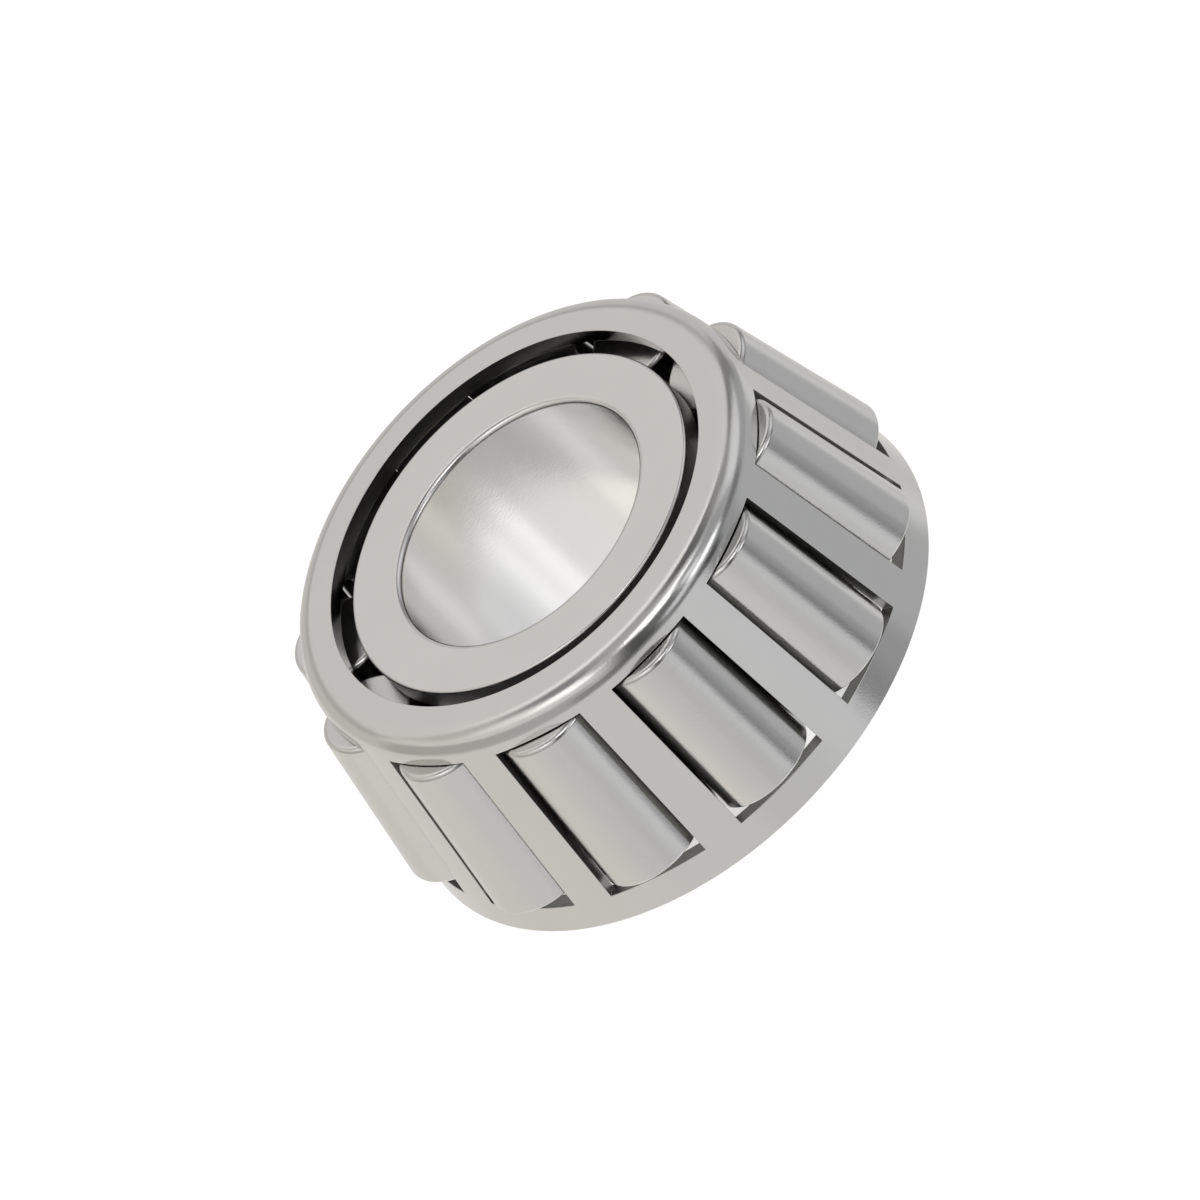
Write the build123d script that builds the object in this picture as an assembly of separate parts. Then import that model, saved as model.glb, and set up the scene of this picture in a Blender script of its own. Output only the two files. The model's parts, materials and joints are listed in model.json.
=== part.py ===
from build123d import *
import math
import os

# Inner-ring-and-roller assembly (cone) of a single-row tapered roller bearing.
# Millimetres. The axis is +Z, pointing to the small end of the rollers.
# The origin is the centre of the inner ring's back face, which the part stands on.
# Radii are measured from the axis.

# ---------------------------------------------------------------- inner ring
bore_radius = 10.0
ring_width = 21.0
small_rib_radius = 14.0
large_rib_radius = 17.5
bore_front_round = 0.45
bore_back_round = 1.5
rib_back_round = 0.6
rib_edge_round = 0.3
small_rib_round = 0.25
relief_width = 0.5
relief_depth = 0.2

# ------------------------------------------------------------------- rollers
roller_count = 12
first_roller_angle = -90.0
roller_axis_tilt = 8.25
roller_large_radius = 3.97
roller_length = 13.65
roller_centre_radius = 18.52
roller_large_end_height = 5.38
roller_small_round = 0.42
roller_large_round = 0.15
roller_end_dome_radius = 110.0

# ---------------------------------------------------------------------- cage
sheet_thickness = 1.25
cage_front_height = 21.45
cage_rim_height = 2.7
cage_hole_radius = 15.45
cage_wall_angle = 9.22
cage_wall_radius_at_front = 18.6
cage_corner_round = 1.67
cage_edge_round = 0.1
pocket_length = 14.5
pocket_small_half_width = 3.53
pocket_large_half_width = 3.97
pocket_cut_depth = 2.6

# ---------------------------------------------------------------- clearances
raceway_clearance = 0.03
large_rib_clearance = 0.04
small_rib_clearance = 0.25
pocket_end_clearance = 0.08


def polar(radius, height, angle, distance):
    """Point at a distance from (radius, height), at an angle in degrees from the outward radial direction."""
    turn = math.radians(angle)
    return (radius + distance * math.cos(turn), height + distance * math.sin(turn))


# ------------------------------------------------- roller geometry about the axis
# The roller's cone, both raceways and the bearing axis meet at one apex.
apex_distance = roller_centre_radius / math.sin(math.radians(roller_axis_tilt))
roller_half_angle = math.degrees(math.atan(roller_large_radius / apex_distance))
raceway_angle = roller_axis_tilt - roller_half_angle
roller_small_radius = roller_large_radius * (apex_distance - roller_length) / apex_distance
small_end_centre = polar(
    roller_centre_radius, roller_large_end_height, 90.0 + roller_axis_tilt, roller_length
)
large_end_foot = polar(
    roller_centre_radius, roller_large_end_height, 180.0 + roller_axis_tilt, roller_large_radius
)
small_end_foot = polar(*small_end_centre, 180.0 + roller_axis_tilt, roller_small_radius)


def nearest(shape, radius, height):
    """The vertex of a profile nearest to a corner given by radius and height."""
    return shape.vertices().sort_by_distance(Vector(radius, 0, height))[0]


def profile(points):
    """Closed face in the XZ plane from (radius, height) corners."""
    corners = [(radius, 0, height) for radius, height in points]
    return make_face(Polyline(*corners, close=True))


def round_corners(face, corners):
    """Round each ((radius, height), rounding) corner of a profile face."""
    for (radius, height), rounding in corners:
        face = fillet(nearest(face, radius, height), rounding)
    return face


def make_inner_ring():
    """Inner ring: bore, raceway between two ribs, and a relief groove at each end of the raceway."""
    across = 180.0 + roller_axis_tilt
    along = 90.0 + raceway_angle
    low = polar(*large_end_foot, along - 90.0, -raceway_clearance)
    high = polar(*small_end_foot, along - 90.0, -raceway_clearance)

    rib_base = polar(*low, along, -large_rib_clearance)
    rib_rise = (large_rib_radius - rib_base[0]) / math.cos(math.radians(roller_axis_tilt))
    rib_top = polar(*rib_base, across, -rib_rise)
    small_base = polar(*high, along, small_rib_clearance)
    small_rise = (small_rib_radius - small_base[0]) / math.cos(math.radians(roller_axis_tilt))
    small_top = polar(*small_base, across, -small_rise)

    low_groove = polar(*rib_base, raceway_angle + 180.0, relief_depth)
    low_groove_end = polar(*low_groove, along, relief_width)
    low_race = polar(*rib_base, along, relief_width + relief_depth)
    high_groove = polar(*small_base, raceway_angle + 180.0, relief_depth)
    high_groove_end = polar(*high_groove, along, -relief_width)
    high_race = polar(*small_base, along, -relief_width - relief_depth)

    section = profile(
        [
            (bore_radius, 0.0),
            (large_rib_radius, 0.0),
            rib_top,
            low_groove,
            low_groove_end,
            low_race,
            high_race,
            high_groove_end,
            high_groove,
            small_top,
            (small_rib_radius, ring_width),
            (bore_radius, ring_width),
        ]
    )
    section = round_corners(
        section,
        [
            ((bore_radius, 0.0), bore_back_round),
            ((large_rib_radius, 0.0), rib_back_round),
            (rib_top, rib_edge_round),
            (small_top, small_rib_round),
            ((small_rib_radius, ring_width), small_rib_round),
            ((bore_radius, ring_width), bore_front_round),
        ],
    )
    return revolve(section, Axis.Z)


def dome_height(radius):
    """Height of the roller's domed large end at a radius, above its lowest point."""
    return roller_end_dome_radius - math.sqrt(roller_end_dome_radius**2 - radius**2)


def make_roller():
    """Tapered roller on its own axis: large end at the origin, slightly domed, small end up."""
    half_radius = roller_large_radius / 2
    dome_edge = (roller_large_radius, 0, dome_height(roller_large_radius))
    sides = Polyline(
        (0, 0, 0), (0, 0, roller_length), (roller_small_radius, 0, roller_length), dome_edge
    )
    dome = ThreePointArc(dome_edge, (half_radius, 0, dome_height(half_radius)), (0, 0, 0))
    section = make_face(sides + dome)
    section = round_corners(
        section,
        [
            ((roller_small_radius, roller_length), roller_small_round),
            ((roller_large_radius, dome_edge[2]), roller_large_round),
        ],
    )
    return revolve(section, Axis.Z)


def place_roller(roller, angle):
    """Lean a roller towards the bearing axis and set it at its angle around the inner ring."""
    return (
        Rot(0, 0, angle)
        * Pos(roller_centre_radius, 0, roller_large_end_height)
        * Rot(0, -roller_axis_tilt, 0)
        * roller
    )


def wall_radius(height):
    """Radius of the cage wall's outer surface at a height."""
    return cage_wall_radius_at_front + (cage_front_height - height) * math.tan(
        math.radians(cage_wall_angle)
    )


def make_cage_blank():
    """Pressed sheet cage before its pockets: conical wall with an inward flange at the small end."""
    slope = math.radians(cage_wall_angle)
    radial_thickness = sheet_thickness / math.cos(slope)
    flange_back = cage_front_height - sheet_thickness
    front_corner = (cage_wall_radius_at_front, cage_front_height)
    rim_corner = (wall_radius(cage_rim_height), cage_rim_height)
    rim_inner = (rim_corner[0] - radial_thickness, cage_rim_height)
    inner_corner = (wall_radius(flange_back) - radial_thickness, flange_back)
    hole_front = (cage_hole_radius, cage_front_height)
    hole_back = (cage_hole_radius, flange_back)
    section = profile([hole_front, front_corner, rim_corner, rim_inner, inner_corner, hole_back])
    section = round_corners(
        section,
        [
            (front_corner, cage_corner_round),
            (inner_corner, cage_corner_round - sheet_thickness),
            (hole_front, cage_edge_round),
            (hole_back, cage_edge_round),
            (rim_corner, cage_edge_round),
            (rim_inner, cage_edge_round),
        ],
    )
    return revolve(section, Axis.Z)


def make_pocket_cutter():
    """Tapered window of one roller, cut square to the cage wall, at angle zero."""
    slope = math.radians(cage_wall_angle)
    tilt = math.radians(roller_axis_tilt)
    # Height on the wall's outer surface where the roller's small end face would meet it.
    reach = wall_radius(small_end_centre[1]) - small_end_centre[0]
    meeting_height = small_end_centre[1] + reach * math.tan(tilt) / (1 + math.tan(tilt) * math.tan(slope))
    small_edge_height = meeting_height + pocket_end_clearance
    wall_plane = Plane(
        origin=(wall_radius(small_edge_height), 0, small_edge_height),
        x_dir=(math.sin(slope), 0, -math.cos(slope)),
        z_dir=(math.cos(slope), 0, math.sin(slope)),
    )
    window = make_face(
        Polyline(
            (0, -pocket_small_half_width),
            (pocket_length, -pocket_large_half_width),
            (pocket_length, pocket_large_half_width),
            (0, pocket_small_half_width),
            close=True,
        )
    )
    return extrude(wall_plane * window, amount=pocket_cut_depth, both=True)


def roller_angles():
    """Angles of the rollers around the axis, in degrees."""
    return [first_roller_angle + 360.0 / roller_count * index for index in range(roller_count)]


def make_cage():
    """Cage with one pocket for each roller."""
    cutter = make_pocket_cutter()
    pockets = [Rot(0, 0, angle) * cutter for angle in roller_angles()]
    return make_cage_blank() - pockets


def write_part(name, shape):
    """Write one sub-part to its own file."""
    shape.label = name
    export_step(shape, f"parts/{name}.step")


os.makedirs("parts", exist_ok=True)
write_part("inner_ring", make_inner_ring())
write_part("cage", make_cage())
loose_roller = make_roller()
for number, angle in enumerate(roller_angles(), start=1):
    write_part(f"roller_{number:02d}", place_roller(loose_roller, angle))
print(f"roller half angle {roller_half_angle:.4f}, raceway angle {raceway_angle:.4f}")
print(f"small end radius {roller_small_radius:.4f}, centre {small_end_centre}")
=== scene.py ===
from collections import namedtuple
import json
import math

import bmesh
import bpy
from mathutils import Matrix, Vector


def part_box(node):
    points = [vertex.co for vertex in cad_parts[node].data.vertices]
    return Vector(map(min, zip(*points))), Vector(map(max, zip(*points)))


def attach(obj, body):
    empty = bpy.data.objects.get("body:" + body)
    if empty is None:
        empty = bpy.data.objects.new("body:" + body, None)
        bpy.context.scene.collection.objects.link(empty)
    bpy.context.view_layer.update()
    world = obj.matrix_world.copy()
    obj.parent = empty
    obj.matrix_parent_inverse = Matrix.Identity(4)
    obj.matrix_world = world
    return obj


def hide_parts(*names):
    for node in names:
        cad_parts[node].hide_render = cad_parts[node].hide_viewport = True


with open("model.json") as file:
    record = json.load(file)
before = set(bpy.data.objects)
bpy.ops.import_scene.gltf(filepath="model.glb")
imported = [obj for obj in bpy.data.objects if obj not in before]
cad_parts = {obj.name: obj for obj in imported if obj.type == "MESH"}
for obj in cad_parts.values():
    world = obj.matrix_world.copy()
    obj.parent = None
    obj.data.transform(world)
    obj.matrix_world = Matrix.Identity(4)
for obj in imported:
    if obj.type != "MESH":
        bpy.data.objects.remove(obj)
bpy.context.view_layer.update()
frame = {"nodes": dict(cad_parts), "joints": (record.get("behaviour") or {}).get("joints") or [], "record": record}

# Inner ring, cage and tapered rollers of a tapered roller bearing. Everything is in metres.
# The bearing axis is +Z and the back face of the inner ring stands on the floor.
MM = 0.001

# ------------------------------------------------------------------ camera
CAMERA_AZIMUTH = 1.15
CAMERA_ELEVATION = 37.235
CAMERA_ROLL = 46.36
CAMERA_DISTANCE = 0.25
CAMERA_NEAR_LIMIT = 0.001
AIM_HEIGHT = 0.01124
VIEW_WIDTH = 0.08243

# -------------------------------------------------------------- inner ring
RELIEF_WIDTH = 0.5 * MM
RELIEF_DEPTH = 0.2 * MM
SMALL_RIB_RADIUS = 14.0 * MM
BORE_FRONT_ROUND = 0.45 * MM
BORE_BACK_ROUND = 1.5 * MM
RIB_BACK_ROUND = 0.6 * MM
RIB_EDGE_ROUND = 0.3 * MM
SMALL_RIB_ROUND = 0.25 * MM
RACEWAY_CLEARANCE = 0.03 * MM
LARGE_RIB_CLEARANCE = 0.04 * MM
SMALL_RIB_CLEARANCE = 0.25 * MM

# ----------------------------------------------------------------- rollers
ROLLER_LARGE_RADIUS = 3.97 * MM
ROLLER_LENGTH = 13.65 * MM
ROLLER_SMALL_ROUND = 0.42 * MM
ROLLER_LARGE_ROUND = 0.15 * MM
ROLLER_DOME_RADIUS = 110.0 * MM

# -------------------------------------------------------------------- cage
SHEET_THICKNESS = 1.25 * MM
HOLE_RADIUS = 15.45 * MM
WALL_ANGLE = math.radians(9.22)
WALL_RADIUS_AT_FRONT = 18.6 * MM
CORNER_ROUND = 1.67 * MM
EDGE_ROUND = 0.05 * MM
POCKET_LENGTH = 14.5 * MM
POCKET_SMALL_HALF_WIDTH = 3.53 * MM
POCKET_LARGE_HALF_WIDTH = 3.97 * MM
POCKET_END_CLEARANCE = 0.08 * MM

# ------------------------------------------------------------ mesh fineness
RING_SEGMENTS = 288
ROLLER_SEGMENTS = 144
ROUND_STEPS = 8
DOME_STEPS = 8
POCKET_COLUMNS = 14
BAR_COLUMNS = 6
POCKET_ROWS = 16
MARGIN_ROWS = 4
BEVEL_SEGMENTS = 3
SHARP_ANGLE = math.radians(40)
FLAT_FACE_WEIGHT = 100
AXIS_TOLERANCE = 1e-9
CUT_SOLVING_STEPS = 6

# --------------------------------------------------------------- materials
GRAIN_PITCH = 0.12 * MM
STAINS_PER_METRE = 160.0
DARKEST_TONE = 0.965
PALEST_TONE = 1.03
SMOOTHEST_SHARE = 0.8
ROUGHEST_SHARE = 1.2
# A face of the cage is taken as hidden, and gets painted shade, where the cosine between its normal and the wall's
# is below this.
PAINTED_SHADE_FACING = 0.3


# ------------------------------------------------------------ frame values
def joint_named(name):
    """The record's joint of that name."""
    return next(joint for joint in frame["joints"] if joint["name"] == name)


def bore_radius():
    """Bore radius from the record's bore mount."""
    mount = next(mount for mount in frame["record"]["mounts"] if mount["name"] == "bore")
    return mount["dims"]["r_mm"] * MM


roller_names = sorted(name for name in frame["nodes"] if name.startswith("roller_"))
ring_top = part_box("inner_ring")[1].z
large_rib_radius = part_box("inner_ring")[1].x
cage_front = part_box("cage")[1].z
cage_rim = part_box("cage")[0].z

first_roller = joint_named(roller_names[0] + "_spin")
roller_axis = Vector(first_roller["axis"])
roller_middle = Vector(first_roller["pos_m"])
roller_tilt = math.acos(roller_axis.z)
small_end_radius = roller_middle.xy.length - ROLLER_LENGTH / 2 * math.sin(roller_tilt)
small_end_height = roller_middle.z + ROLLER_LENGTH / 2 * math.cos(roller_tilt)
large_end_radius = roller_middle.xy.length + ROLLER_LENGTH / 2 * math.sin(roller_tilt)
large_end_height = roller_middle.z - ROLLER_LENGTH / 2 * math.cos(roller_tilt)
apex_distance = large_end_radius / math.sin(roller_tilt)
roller_small_radius = ROLLER_LARGE_RADIUS * (apex_distance - ROLLER_LENGTH) / apex_distance
raceway_angle = roller_tilt - math.atan(ROLLER_LARGE_RADIUS / apex_distance)


# --------------------------------------------------------- outlines, in (radius, height)
def polar(start, angle, distance):
    """Point at a distance from a start point, at an angle from the outward radial direction."""
    return start + Vector((math.cos(angle), math.sin(angle))) * distance


def rounded(corners):
    """Outline through (point, rounding) corners, each rounding an arc tangent to both its sides."""
    outline = []
    count = len(corners)
    for index, (corner, rounding) in enumerate(corners):
        if rounding == 0:
            outline.append(corner)
            continue
        before = (corners[index - 1][0] - corner).normalized()
        after = (corners[(index + 1) % count][0] - corner).normalized()
        half_turn = before.angle(after) / 2
        centre = corner + (before + after).normalized() * rounding / math.sin(half_turn)
        reach = rounding / math.tan(half_turn)
        first = corner + before * reach - centre
        last = corner + after * reach - centre
        sweep = first.angle_signed(last)
        for step in range(ROUND_STEPS + 1):
            turn = Matrix.Rotation(-sweep * step / ROUND_STEPS, 2)
            outline.append(centre + turn @ first)
    return outline


def inner_ring_outline():
    """Closed outline of the ring: bore, large rib, raceway with a relief at each end, small rib."""
    along = math.pi / 2 + raceway_angle
    inward = math.pi + raceway_angle
    across = math.pi + roller_tilt
    large_foot = polar(Vector((large_end_radius, large_end_height)), across, ROLLER_LARGE_RADIUS)
    small_foot = polar(Vector((small_end_radius, small_end_height)), across, roller_small_radius)
    low = polar(large_foot, inward, RACEWAY_CLEARANCE)
    high = polar(small_foot, inward, RACEWAY_CLEARANCE)
    rib_base = polar(low, along, -LARGE_RIB_CLEARANCE)
    small_base = polar(high, along, SMALL_RIB_CLEARANCE)
    rib_top = polar(rib_base, across, -(large_rib_radius - rib_base.x) / math.cos(roller_tilt))
    small_top = polar(small_base, across, -(SMALL_RIB_RADIUS - small_base.x) / math.cos(roller_tilt))
    low_groove = polar(rib_base, inward, RELIEF_DEPTH)
    high_groove = polar(small_base, inward, RELIEF_DEPTH)
    bore = bore_radius()
    return rounded(
        [
            (Vector((bore, 0)), BORE_BACK_ROUND),
            (Vector((large_rib_radius, 0)), RIB_BACK_ROUND),
            (rib_top, RIB_EDGE_ROUND),
            (low_groove, 0),
            (polar(low_groove, along, RELIEF_WIDTH), 0),
            (polar(rib_base, along, RELIEF_WIDTH + RELIEF_DEPTH), 0),
            (polar(small_base, along, -RELIEF_WIDTH - RELIEF_DEPTH), 0),
            (polar(high_groove, along, -RELIEF_WIDTH), 0),
            (high_groove, 0),
            (small_top, SMALL_RIB_ROUND),
            (Vector((SMALL_RIB_RADIUS, ring_top)), SMALL_RIB_ROUND),
            (Vector((bore, ring_top)), BORE_FRONT_ROUND),
        ]
    )


def dome_height(radius):
    """Height of the roller's domed large end at a radius, above its lowest point."""
    return ROLLER_DOME_RADIUS - math.sqrt(ROLLER_DOME_RADIUS**2 - radius**2)


def roller_outline():
    """Open outline of a roller about its own axis, from the domed large end to the small end."""
    flat_radius = ROLLER_LARGE_RADIUS - ROLLER_LARGE_ROUND
    dome_edge = Vector((ROLLER_LARGE_RADIUS, dome_height(ROLLER_LARGE_RADIUS)))
    corners = [
        (Vector((0, 0)), 0),
        (dome_edge, ROLLER_LARGE_ROUND),
        (Vector((roller_small_radius, ROLLER_LENGTH)), ROLLER_SMALL_ROUND),
        (Vector((0, ROLLER_LENGTH)), 0),
    ]
    outline = rounded(corners)
    radii = [flat_radius * step / DOME_STEPS for step in range(DOME_STEPS)]
    dome = [Vector((radius, dome_height(radius))) for radius in radii]
    return dome + outline[1:]


# ------------------------------------------------------------------ meshes
def make_object(name, vertices, faces, bevel=0.0):
    """Object from vertices and faces, shaded smooth, with its flat areas kept flat.

    The modifiers work at a larger scale, because they ignore areas as small as these in square metres.
    """
    mesh = bpy.data.meshes.new(name)
    mesh.from_pydata(vertices, [], faces)
    mesh.transform(Matrix.Scale(1 / MM, 4))
    face_outward(mesh)
    piece = bpy.data.objects.new(name, mesh)
    bpy.context.scene.collection.objects.link(piece)
    if bevel:
        rounding = piece.modifiers.new("edge_rounding", "BEVEL")
        rounding.width = bevel / MM
        rounding.segments = BEVEL_SEGMENTS
        rounding.limit_method = "ANGLE"
        rounding.angle_limit = SHARP_ANGLE
        apply_modifiers(piece)
    piece.data.shade_smooth()
    piece.data.set_sharp_from_angle(angle=SHARP_ANGLE)
    weighting = piece.modifiers.new("flat_areas", "WEIGHTED_NORMAL")
    weighting.weight = FLAT_FACE_WEIGHT
    weighting.keep_sharp = True
    apply_modifiers(piece)
    piece.data.transform(Matrix.Scale(MM, 4))
    return piece


def face_outward(mesh):
    """Turn all faces of a closed mesh outward."""
    shape = bmesh.new()
    shape.from_mesh(mesh)
    bmesh.ops.recalc_face_normals(shape, faces=shape.faces)
    shape.to_mesh(mesh)
    shape.free()


def apply_modifiers(piece):
    """Replace a piece's mesh by its evaluated mesh."""
    graph = bpy.context.evaluated_depsgraph_get()
    final = bpy.data.meshes.new_from_object(piece.evaluated_get(graph))
    piece.modifiers.clear()
    old = piece.data
    piece.data = final
    final.name = piece.name
    bpy.data.meshes.remove(old)


def revolve(outline, segments, closed):
    """Vertices and faces of an outline turned about +Z. Points on the axis become one vertex."""
    vertices = []
    rings = []
    for point in outline:
        on_axis = point.x < AXIS_TOLERANCE
        copies = 1 if on_axis else segments
        rings.append([len(vertices) + (0 if on_axis else step) for step in range(segments)])
        for step in range(copies):
            turn = 2 * math.pi * step / segments
            vertices.append((point.x * math.cos(turn), point.x * math.sin(turn), point.y))
    faces = []
    bands = list(zip(rings, rings[1:]))
    if closed:
        bands.append((rings[-1], rings[0]))
    for low, high in bands:
        for step in range(segments):
            following = (step + 1) % segments
            corners = [low[step], low[following], high[following], high[step]]
            faces.append(list(dict.fromkeys(corners)))
    return vertices, faces


def make_inner_ring():
    """The inner ring as one closed turned mesh."""
    vertices, faces = revolve(inner_ring_outline(), RING_SEGMENTS, closed=True)
    return make_object("inner_ring_body", vertices, faces)


def roller_place(name):
    """Matrix from a roller's own frame, large end at its origin and small end up, to the bearing's."""
    joint = joint_named(name + "_spin")
    upward = Vector(joint["axis"])
    middle = Vector(joint["pos_m"])
    sideways = Vector((0, 0, 1)).cross(upward).normalized()
    outward = sideways.cross(upward)
    turn = Matrix((outward, sideways, upward)).transposed().to_4x4()
    return Matrix.Translation(middle - upward * ROLLER_LENGTH / 2) @ turn


def make_rollers():
    """All rollers, sharing one turned mesh, each placed by its own joint."""
    vertices, faces = revolve(roller_outline(), ROLLER_SEGMENTS, closed=False)
    master = make_object("roller_body", vertices, faces)
    rollers = {}
    for name in roller_names:
        piece = bpy.data.objects.new(name + "_body", master.data)
        bpy.context.scene.collection.objects.link(piece)
        piece.matrix_world = roller_place(name)
        rollers[name] = piece
    bpy.data.objects.remove(master)
    return rollers


# -------------------------------------------------------------------- cage
def wall_offset():
    """Distance from the origin to the wall's outer surface, measured along the wall's normal."""
    return WALL_RADIUS_AT_FRONT * math.cos(WALL_ANGLE) + cage_front * math.sin(WALL_ANGLE)


def wall_radius(offset, height):
    """Radius, at a height, of the wall surface with that offset from the origin."""
    return (offset - height * math.sin(WALL_ANGLE)) / math.cos(WALL_ANGLE)


def pocket_start():
    """(radius, height) on the wall's outer surface of the middle of the pocket's small end."""
    outer = wall_offset()
    reach = wall_radius(outer, small_end_height) - small_end_radius
    tangents = math.tan(roller_tilt) * math.tan(WALL_ANGLE)
    height = small_end_height + reach * math.tan(roller_tilt) / (1 + tangents) + POCKET_END_CLEARANCE
    return wall_radius(outer, height), height


def pocket_point(down, across, offset):
    """(angle, height) where the pocket's cut, square to the wall, meets a wall surface.

    down runs from the pocket's small end along the wall, and across runs from the pocket's
    middle line at 0 to its side at 1 or -1.
    """
    start_radius, start_height = pocket_start()
    widening = (POCKET_LARGE_HALF_WIDTH - POCKET_SMALL_HALF_WIDTH) * down / POCKET_LENGTH
    side = across * (POCKET_SMALL_HALF_WIDTH + widening)
    sine = math.sin(WALL_ANGLE)
    cosine = math.cos(WALL_ANGLE)
    depth = 0.0
    for _ in range(CUT_SOLVING_STEPS):
        radial = start_radius + down * sine + depth * cosine
        height = start_height - down * cosine + depth * sine
        radius = math.hypot(radial, side)
        miss = radius * cosine + height * sine - offset
        depth -= miss / (radial / radius * cosine**2 + sine**2)
    return math.atan2(side, radial), height


def sector_row(down, offset, level=None, share=0.0):
    """One row of (angle, height) points across a sector, the pocket in its middle.

    With a level, the row's height is moved towards that height by a share.
    """
    half_sector = math.pi / len(roller_names)
    columns = [2 * step / POCKET_COLUMNS - 1 for step in range(POCKET_COLUMNS + 1)]
    pocket = [pocket_point(down, across, offset) for across in columns]
    edge_angle, edge_height = pocket[-1]
    half_bar = BAR_COLUMNS // 2
    shares = [step / half_bar for step in range(1, half_bar + 1)]
    bar = [(edge_angle + (half_sector - edge_angle) * part, edge_height) for part in shares]
    opposite_bar = [(-angle, height) for angle, height in reversed(bar)]
    # The first point is left out, because it is the last point of the sector before this one.
    row = opposite_bar[1:] + pocket + bar
    if level is None:
        return row
    return [(angle, height + (level - height) * share) for angle, height in row]


def cage_rows():
    """Rows of (angle, radius, height) points around the sheet's section, and which rows border a pocket.

    The rows go from the flange's hole over the front, down the outer wall, round the rim, up the inner
    wall and back under the flange.
    """
    outer = wall_offset()
    inner = outer - SHEET_THICKNESS
    flange_back = cage_front - SHEET_THICKNESS
    corners = [
        (Vector((HOLE_RADIUS, cage_front)), 0),
        (Vector((wall_radius(outer, cage_front), cage_front)), CORNER_ROUND),
        (Vector((wall_radius(outer, cage_rim), cage_rim)), 0),
        (Vector((wall_radius(inner, cage_rim), cage_rim)), 0),
        (Vector((wall_radius(inner, flange_back), flange_back)), CORNER_ROUND - SHEET_THICKNESS),
        (Vector((HOLE_RADIUS, flange_back)), 0),
    ]
    outline = rounded(corners)
    corner_end = 1 + ROUND_STEPS
    front = outline[: corner_end + 1]
    rim_outer, rim_inner = outline[corner_end + 1 : corner_end + 3]
    back = outline[corner_end + 3 :]
    rows = []
    pocket_rows = []

    def add_circle(point, down, offset):
        """A row at one (radius, height) point, its columns in line with the pocket's."""
        angles = [angle for angle, _ in sector_row(down, offset)]
        rows.append([(angle, point.x, point.y) for angle in angles])

    def add_wall(row, offset):
        """A row on the wall surface with that offset."""
        rows.append([(angle, wall_radius(offset, height), height) for angle, height in row])

    def add_wall_side(offset, top, bottom):
        """Wall rows between two heights, from the top down, and the number of the first pocket row."""
        found = []
        for step in range(1, MARGIN_ROWS):
            found.append(sector_row(0, offset, top, 1 - step / MARGIN_ROWS))
        first = len(found)
        for step in range(POCKET_ROWS + 1):
            found.append(sector_row(POCKET_LENGTH * step / POCKET_ROWS, offset))
        for step in range(1, MARGIN_ROWS):
            found.append(sector_row(POCKET_LENGTH, offset, bottom, step / MARGIN_ROWS))
        return found, first

    for point in front:
        add_circle(point, 0, outer)
    wall, first = add_wall_side(outer, front[-1].y, cage_rim)
    pocket_rows.append([len(rows) + first + step for step in range(POCKET_ROWS + 1)])
    for row in wall:
        add_wall(row, outer)
    add_circle(rim_outer, POCKET_LENGTH, outer)
    add_circle(rim_inner, POCKET_LENGTH, inner)
    wall, first = add_wall_side(inner, back[0].y, cage_rim)
    wall.reverse()
    last = len(rows) + len(wall) - 1 - first
    pocket_rows.append([last - step for step in range(POCKET_ROWS + 1)])
    for row in wall:
        add_wall(row, inner)
    for point in back:
        add_circle(point, 0, inner)
    return rows, pocket_rows


def make_cage():
    """The pressed cage: a flanged conical sheet with one tapered pocket for each roller."""
    rows, (outer_pocket, inner_pocket) = cage_rows()
    width = len(rows[0])
    sectors = len(roller_names)
    around = width * sectors
    first_angle = math.atan2(roller_middle.y, roller_middle.x)
    vertices = []
    for row in rows:
        for sector in range(sectors):
            turn = first_angle + 2 * math.pi * sector / sectors
            for angle, radius, height in row:
                around_axis = turn + angle
                x = radius * math.cos(around_axis)
                y = radius * math.sin(around_axis)
                vertices.append((x, y, height))

    def corner(row, column):
        """Number of the vertex at a row and a column, counted on around the axis."""
        return row * around + column % around

    pocket_first = BAR_COLUMNS // 2 - 1
    pocket_columns = range(pocket_first, pocket_first + POCKET_COLUMNS)
    open_rows = set(outer_pocket[:-1]) | set(inner_pocket[1:])
    faces = []
    for row in range(len(rows)):
        following = (row + 1) % len(rows)
        for column in range(around):
            if row in open_rows and column % width in pocket_columns:
                continue
            faces.append(
                [
                    corner(row, column),
                    corner(following, column),
                    corner(following, column + 1),
                    corner(row, column + 1),
                ]
            )
    for sector in range(sectors):
        left = sector * width + pocket_first
        right = left + POCKET_COLUMNS
        sides = [
            ((step, column), (step + 1, column))
            for step in range(POCKET_ROWS)
            for column in (left, right)
        ]
        ends = [
            ((step, column), (step, column + 1))
            for step in (0, POCKET_ROWS)
            for column in range(left, right)
        ]
        for (step, column), (next_step, next_column) in sides + ends:
            faces.append(
                [
                    corner(outer_pocket[step], column),
                    corner(outer_pocket[next_step], next_column),
                    corner(inner_pocket[next_step], next_column),
                    corner(inner_pocket[step], column),
                ]
            )
    return make_object("cage_body", vertices, faces, bevel=EDGE_ROUND)


# --------------------------------------------------------------- materials
def add_node(tree, kind, **values):
    """A node with its properties set by name and its inputs set by socket name or number."""
    node = tree.nodes.new(kind)
    for key, value in values.pop("inputs", {}).items():
        node.inputs[key].default_value = value
    for key, value in values.items():
        setattr(node, key, value)
    return node


def feed(tree, socket, value):
    """Give a socket its value, which is a number or another node's output."""
    if isinstance(value, (int, float)):
        socket.default_value = value
    else:
        tree.links.new(value, socket)


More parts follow.
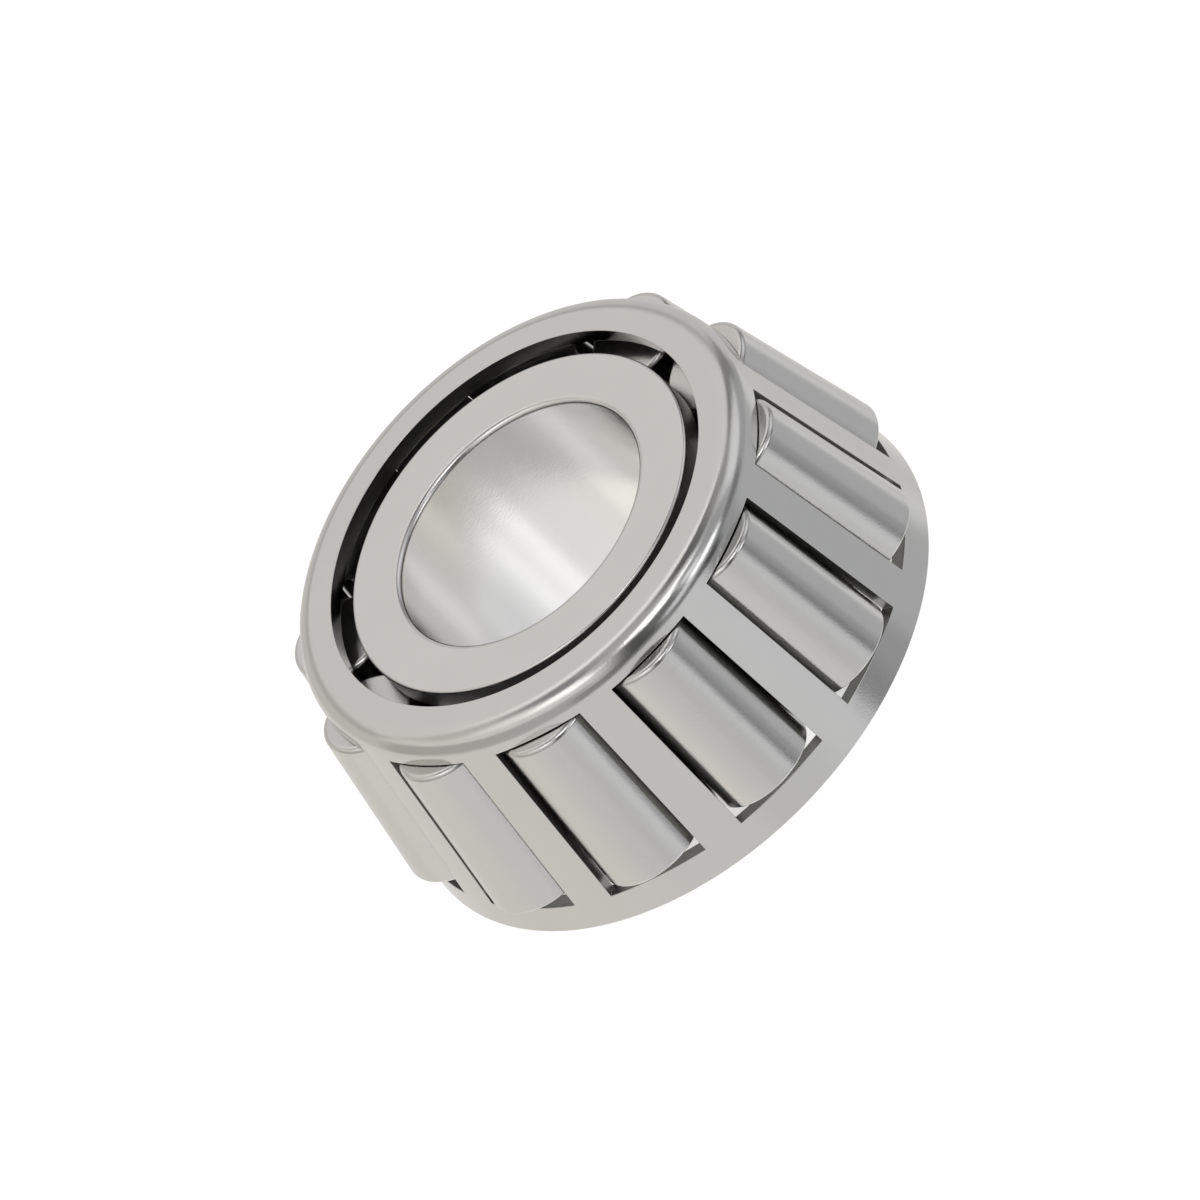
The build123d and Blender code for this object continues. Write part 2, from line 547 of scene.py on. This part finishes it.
def calculate(tree, operation, first, second=0.0):
    """A Math node's output. Each operand is a number or another node's output."""
    node = add_node(tree, "ShaderNodeMath", operation=operation)
    feed(tree, node.inputs[0], first)
    feed(tree, node.inputs[1], second)
    return node.outputs[0]


def steel(name, colour, roughness, grain_height, grain_radius):
    """Satin steel with an even grain. Around the piece's own Z axis it has its true pitch at grain_radius."""
    material = bpy.data.materials.new(name)
    material.use_nodes = True
    tree = material.node_tree
    link = tree.links.new
    shader = tree.nodes["Principled BSDF"]
    shader.inputs["Metallic"].default_value = 1.0
    grain_around = grain_radius / GRAIN_PITCH

    place = add_node(tree, "ShaderNodeTexCoord").outputs["Object"]
    split = add_node(tree, "ShaderNodeSeparateXYZ")
    link(place, split.inputs[0])
    x, y, z = split.outputs
    angle = calculate(tree, "ARCTAN2", y, x)
    x_squared = calculate(tree, "MULTIPLY", x, x)
    y_squared = calculate(tree, "MULTIPLY", y, y)
    radius = calculate(tree, "SQRT", calculate(tree, "ADD", x_squared, y_squared))
    ring = add_node(tree, "ShaderNodeCombineXYZ")
    link(calculate(tree, "MULTIPLY", calculate(tree, "COSINE", angle), grain_around), ring.inputs[0])
    link(calculate(tree, "MULTIPLY", calculate(tree, "SINE", angle), grain_around), ring.inputs[1])
    link(calculate(tree, "MULTIPLY", radius, 1 / GRAIN_PITCH), ring.inputs[2])
    lines = add_node(
        tree,
        "ShaderNodeTexNoise",
        noise_dimensions="4D",
        inputs={"Scale": 1.0, "Detail": 3.0, "Roughness": 0.6},
    )
    link(ring.outputs[0], lines.inputs["Vector"])
    link(calculate(tree, "MULTIPLY", z, 1 / GRAIN_PITCH), lines.inputs["W"])

    stains = add_node(
        tree,
        "ShaderNodeTexNoise",
        inputs={"Scale": STAINS_PER_METRE, "Detail": 4.0, "Roughness": 0.55},
    )
    link(place, stains.inputs["Vector"])

    tone = add_node(tree, "ShaderNodeMapRange", inputs={"To Min": DARKEST_TONE, "To Max": PALEST_TONE})
    link(stains.outputs["Fac"], tone.inputs["Value"])
    shade = add_node(tree, "ShaderNodeVectorMath", operation="SCALE")
    shade.inputs[0].default_value = colour
    link(tone.outputs[0], shade.inputs["Scale"])
    link(shade.outputs[0], shader.inputs["Base Color"])

    spread = add_node(
        tree,
        "ShaderNodeMapRange",
        inputs={"To Min": roughness * SMOOTHEST_SHARE, "To Max": roughness * ROUGHEST_SHARE},
    )
    link(lines.outputs["Fac"], spread.inputs["Value"])
    link(spread.outputs[0], shader.inputs["Roughness"])

    bump = add_node(tree, "ShaderNodeBump", inputs={"Strength": 1.0, "Distance": grain_height})
    link(lines.outputs["Fac"], bump.inputs["Height"])
    link(bump.outputs["Normal"], shader.inputs["Normal"])
    return material


# ------------------------------------------------------------------ studio
# A soft-edged card of light or shade around the part: all but its level are in degrees. Azimuth 0 is
# -Y and 90 is +X. A later card lies over the earlier ones.
Card = namedtuple("Card", ["azimuth", "elevation", "half_width", "half_height", "edge", "level"])

FLOOR_HALF_SIZE = 1.5
FLOOR_COLOUR = (0.12, 0.12, 0.12, 1.0)
FLOOR_ROUGHNESS = 0.9
FLOOR_GLOW = 0.97
BACKDROP_LEVEL = 1.05
ROOM_LEVEL = 0.73
WARM_SIDE = (1.04, 1.0, 0.94, 1.0)
COOL_SIDE = (0.99, 1.0, 1.03, 1.0)
COOL_DIRECTION = (0.85, -0.4, 0.0)
CARDS = [
    # Walls of the room: dimmer around the horizon and to the left and right.
    Card(180, 4, 180, 12, 9, 0.62),
    Card(180, 25, 50, 2, 9, 0.5),
    Card(-72, 4, 42, 13, 8, 0.47),
    Card(-22, -3, 8, 4, 9, 0.3),
    Card(-115, 50, 8, 6, 14, 0.58),
    Card(100, 2, 26, 9, 13, 0.42),
    Card(72, 48, 12, 8, 16, 0.52),
    Card(52, 36, 18, 10, 10, 0.4),
    Card(66, 4, 8, 6, 16, 0.22),
    Card(130, 26, 3, 18, 12, 0.26),
    # Ceiling: dim overhead, dark in the upper corners.
    Card(0, 85, 180, 12, 8, 0.47),
    Card(102, 70, 34, 5, 14, 0.14),
    Card(112, 56, 12, 4, 12, 0.35),
    Card(-30, 66, 16, 5, 8, 0.5),
    Card(-20, 60, 5, 6, 8, 0.5),
    Card(-88, 71, 34, 2, 12, 0.28),
    # Window light behind and a weaker one to the right.
    Card(180, 66, 28, 3, 12, 1.0),
    Card(92, 32, 8, 6, 12, 0.79),
    # Dark flags in front, with a gap between them.
    Card(1, 18, 4, 24, 20, 0.09),
    Card(17, 29, 7, 10, 9, 0.18),
    Card(22, -6, 30, 1, 7, 0.13),
    Card(22, 5, 4, 2, 8, 0.78),
    # Floor in front, and the flags' shade on it.
    Card(0, -28, 50, 10, 9, 0.71),
    Card(2, -22, 8, 8, 12, 0.64),
    Card(155, -15, 18, 14, 12, 0.63),
    Card(82, -24, 26, 12, 12, 0.5),
    Card(54, -24, 11, 12, 7, 0.38),
    Card(48, -24, 3, 12, 5, 0.34),
    Card(44, -10, 4, 4, 6, 0.09),
    # Grey floor under the part and a pale reflector around it, brighter towards the front.
    Card(0, -90, 180, 22, 14, 0.58),
    Card(0, -46, 180, 9, 7, 0.76),
    Card(-82, -46, 14, 9, 12, 1.1),
    Card(62, -46, 14, 9, 10, 0.85),
    Card(-5, -46, 50, 9, 9, 0.97),
    Card(16, -46, 18, 9, 8, 1.13),
    Card(4, -46, 3, 9, 6, 1.34),
    Card(27, -46, 2, 9, 6, 1.27),
    # Soft lights in front: left, middle and low right.
    Card(-62, 50, 20, 3, 14, 0.92),
    Card(-50, 53, 7, 2, 12, 1.45),
    Card(-34, 47, 5, 1, 10, 1.45),
    Card(9, 58, 13, 3, 6, 1.9),
    Card(32, 56, 16, 0, 7, 1.7),
    Card(16, 50, 8, 4, 6, 1.9),
    Card(43, 14, 7, 2, 8, 1.8),
    Card(36, 31, 3, 3, 7, 1.0),
]


def fade(tree, away, half_size, edge):
    """1 within half_size of a card's middle, falling smoothly to 0 over its edge."""
    node = add_node(
        tree,
        "ShaderNodeMapRange",
        interpolation_type="SMOOTHSTEP",
        inputs={"From Min": half_size, "From Max": half_size + edge, "To Min": 1.0, "To Max": 0.0},
    )
    tree.links.new(away, node.inputs["Value"])
    return node.outputs[0]


def card_mask(tree, card, azimuth, elevation):
    """1 on a card and 0 away from it, measured around the circle in azimuth."""
    turn = calculate(tree, "SUBTRACT", azimuth, math.radians(card.azimuth))
    around = calculate(tree, "ARCCOSINE", calculate(tree, "COSINE", turn))
    rise = calculate(tree, "SUBTRACT", elevation, math.radians(card.elevation))
    above = calculate(tree, "ABSOLUTE", rise)
    edge = math.radians(card.edge)
    across = fade(tree, around, math.radians(card.half_width), edge)
    upright = fade(tree, above, math.radians(card.half_height), edge)
    return calculate(tree, "MULTIPLY", across, upright)


def make_world():
    """Soft studio surroundings: a pale room with lights and flags. The camera itself sees plain white."""
    world = bpy.data.worlds.new("studio")
    bpy.context.scene.world = world
    world.use_nodes = True
    tree = world.node_tree
    tree.nodes.clear()
    link = tree.links.new
    direction = add_node(tree, "ShaderNodeTexCoord").outputs["Generated"]
    split = add_node(tree, "ShaderNodeSeparateXYZ")
    link(direction, split.inputs[0])
    x, y, z = split.outputs
    azimuth = calculate(tree, "ARCTAN2", x, calculate(tree, "MULTIPLY", y, -1.0))
    elevation = calculate(tree, "ARCSINE", z)
    level = ROOM_LEVEL
    for card in CARDS:
        mix = add_node(tree, "ShaderNodeMix", data_type="FLOAT", inputs={"B": card.level})
        feed(tree, mix.inputs["A"], level)
        link(card_mask(tree, card, azimuth, elevation), mix.inputs["Factor"])
        level = mix.outputs["Result"]
    tint = add_node(tree, "ShaderNodeMix", data_type="RGBA")
    tint.inputs["A"].default_value = WARM_SIDE
    tint.inputs["B"].default_value = COOL_SIDE
    towards_cool = add_node(tree, "ShaderNodeVectorMath", operation="DOT_PRODUCT")
    towards_cool.inputs[1].default_value = COOL_DIRECTION
    link(direction, towards_cool.inputs[0])
    side = add_node(tree, "ShaderNodeMapRange", inputs={"From Min": -1.0})
    link(towards_cool.outputs["Value"], side.inputs["Value"])
    link(side.outputs[0], tint.inputs["Factor"])
    room = add_node(tree, "ShaderNodeBackground")
    link(tint.outputs["Result"], room.inputs["Color"])
    link(level, room.inputs["Strength"])
    plain = add_node(
        tree,
        "ShaderNodeBackground",
        inputs={"Color": (1.0, 1.0, 1.0, 1.0), "Strength": BACKDROP_LEVEL},
    )
    seen = add_node(tree, "ShaderNodeLightPath").outputs["Is Camera Ray"]
    choice = add_node(tree, "ShaderNodeMixShader")
    output = add_node(tree, "ShaderNodeOutputWorld")
    link(seen, choice.inputs[0])
    link(room.outputs[0], choice.inputs[1])
    link(plain.outputs[0], choice.inputs[2])
    link(choice.outputs[0], output.inputs["Surface"])


def make_floor():
    """A plain pale floor for the camera alone. In reflections, the lower cards stand for it."""
    half = FLOOR_HALF_SIZE
    corners = [(-half, -half, 0), (half, -half, 0), (half, half, 0), (-half, half, 0)]
    mesh = bpy.data.meshes.new("floor")
    mesh.from_pydata(corners, [], [[0, 1, 2, 3]])
    floor = bpy.data.objects.new("floor", mesh)
    bpy.context.scene.collection.objects.link(floor)
    material = bpy.data.materials.new("floor_white")
    material.use_nodes = True
    shader = material.node_tree.nodes["Principled BSDF"]
    shader.inputs["Base Color"].default_value = FLOOR_COLOUR
    shader.inputs["Roughness"].default_value = FLOOR_ROUGHNESS
    shader.inputs["Emission Color"].default_value = (1.0, 1.0, 1.0, 1.0)
    shader.inputs["Emission Strength"].default_value = FLOOR_GLOW
    mesh.materials.append(material)
    floor.visible_glossy = False
    floor.visible_diffuse = False


def make_camera():
    """A parallel view from the front and above, rolled so that the bearing axis leans to the upper left."""
    azimuth = math.radians(CAMERA_AZIMUTH)
    elevation = math.radians(CAMERA_ELEVATION)
    level_part = math.cos(elevation)
    back = Vector(
        (math.sin(azimuth) * level_part, -math.cos(azimuth) * level_part, math.sin(elevation))
    )
    roll = Matrix.Rotation(math.radians(-CAMERA_ROLL), 3, "Z")
    turn = (-back).to_track_quat("-Z", "Y").to_matrix() @ roll
    data = bpy.data.cameras.new("camera")
    data.type = "ORTHO"
    data.ortho_scale = VIEW_WIDTH
    data.clip_start = CAMERA_NEAR_LIMIT
    camera = bpy.data.objects.new("camera", data)
    bpy.context.scene.collection.objects.link(camera)
    aim = Vector((0, 0, AIM_HEIGHT))
    camera.matrix_world = Matrix.Translation(aim + back * CAMERA_DISTANCE) @ turn.to_4x4()
    bpy.context.scene.camera = camera


# --------------------------------------------------------------- assembly
def is_between_ribs(face):
    """Whether a face of the ring lies on the raceway or on a side of a rib that faces the rollers, where it gets
    painted shade.
    """
    radius = face.center.xy.length
    in_height = RIB_BACK_ROUND < face.center.z < ring_top - SMALL_RIB_ROUND
    in_radius = bore_radius() + BORE_BACK_ROUND < radius < large_rib_radius - RIB_EDGE_ROUND
    return in_height and in_radius


def is_inside_cage(face):
    """Whether a face of the cage is on its inner wall, in a pocket's cut edge or under the flange, where it gets
    painted shade.
    """
    middle = face.center
    outward = Vector((*middle.xy.normalized() * math.cos(WALL_ANGLE), math.sin(WALL_ANGLE)))
    in_height = cage_rim + EDGE_ROUND < middle.z < cage_front - EDGE_ROUND
    in_radius = middle.xy.length > HOLE_RADIUS + EDGE_ROUND
    return in_height and in_radius and face.normal.dot(outward) < PAINTED_SHADE_FACING


def paint_shade(piece, gets_painted_shade, material):
    """Give the faces that the test picks a second, darker material: painted shade where shade falls."""
    piece.data.materials.append(material)
    for face in piece.data.polygons:
        if gets_painted_shade(face):
            face.material_index = 1


def finish_piece(piece, node, material):
    """Give a piece its material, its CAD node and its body."""
    piece.data.materials.clear()
    piece.data.materials.append(material)
    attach(piece, node)
    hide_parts(node)


make_camera()
make_world()
make_floor()
bpy.context.scene.view_settings.view_transform = "Standard"

ring_steel = steel(
    "ring_steel",
    colour=(0.767, 0.763, 0.749),
    roughness=0.18,
    grain_height=7e-6,
    grain_radius=bore_radius(),
)
roller_steel = steel(
    "roller_steel",
    colour=(0.717, 0.714, 0.70),
    roughness=0.15,
    grain_height=11e-6,
    grain_radius=ROLLER_LARGE_RADIUS,
)
cage_steel = steel(
    "cage_steel",
    colour=(0.717, 0.714, 0.70),
    roughness=0.12,
    grain_height=6e-6,
    grain_radius=WALL_RADIUS_AT_FRONT,
)
# A darker copy of the steel: painted shade on the faces between the ribs and inside the cage.
painted_shade_steel = steel(
    "painted_shade_steel",
    colour=(0.36, 0.36, 0.35),
    roughness=0.4,
    grain_height=1e-6,
    grain_radius=WALL_RADIUS_AT_FRONT,
)

ring = make_inner_ring()
finish_piece(ring, "inner_ring", ring_steel)
# Painted shade on the raceway and on the rib sides that face the rollers.
paint_shade(ring, is_between_ribs, painted_shade_steel)
cage = make_cage()
finish_piece(cage, "cage", cage_steel)
# Painted shade on the cage's inner wall, its pocket cut edges and the underside of its flange.
paint_shade(cage, is_inside_cage, painted_shade_steel)
for name, roller in make_rollers().items():
    finish_piece(roller, name, roller_steel)
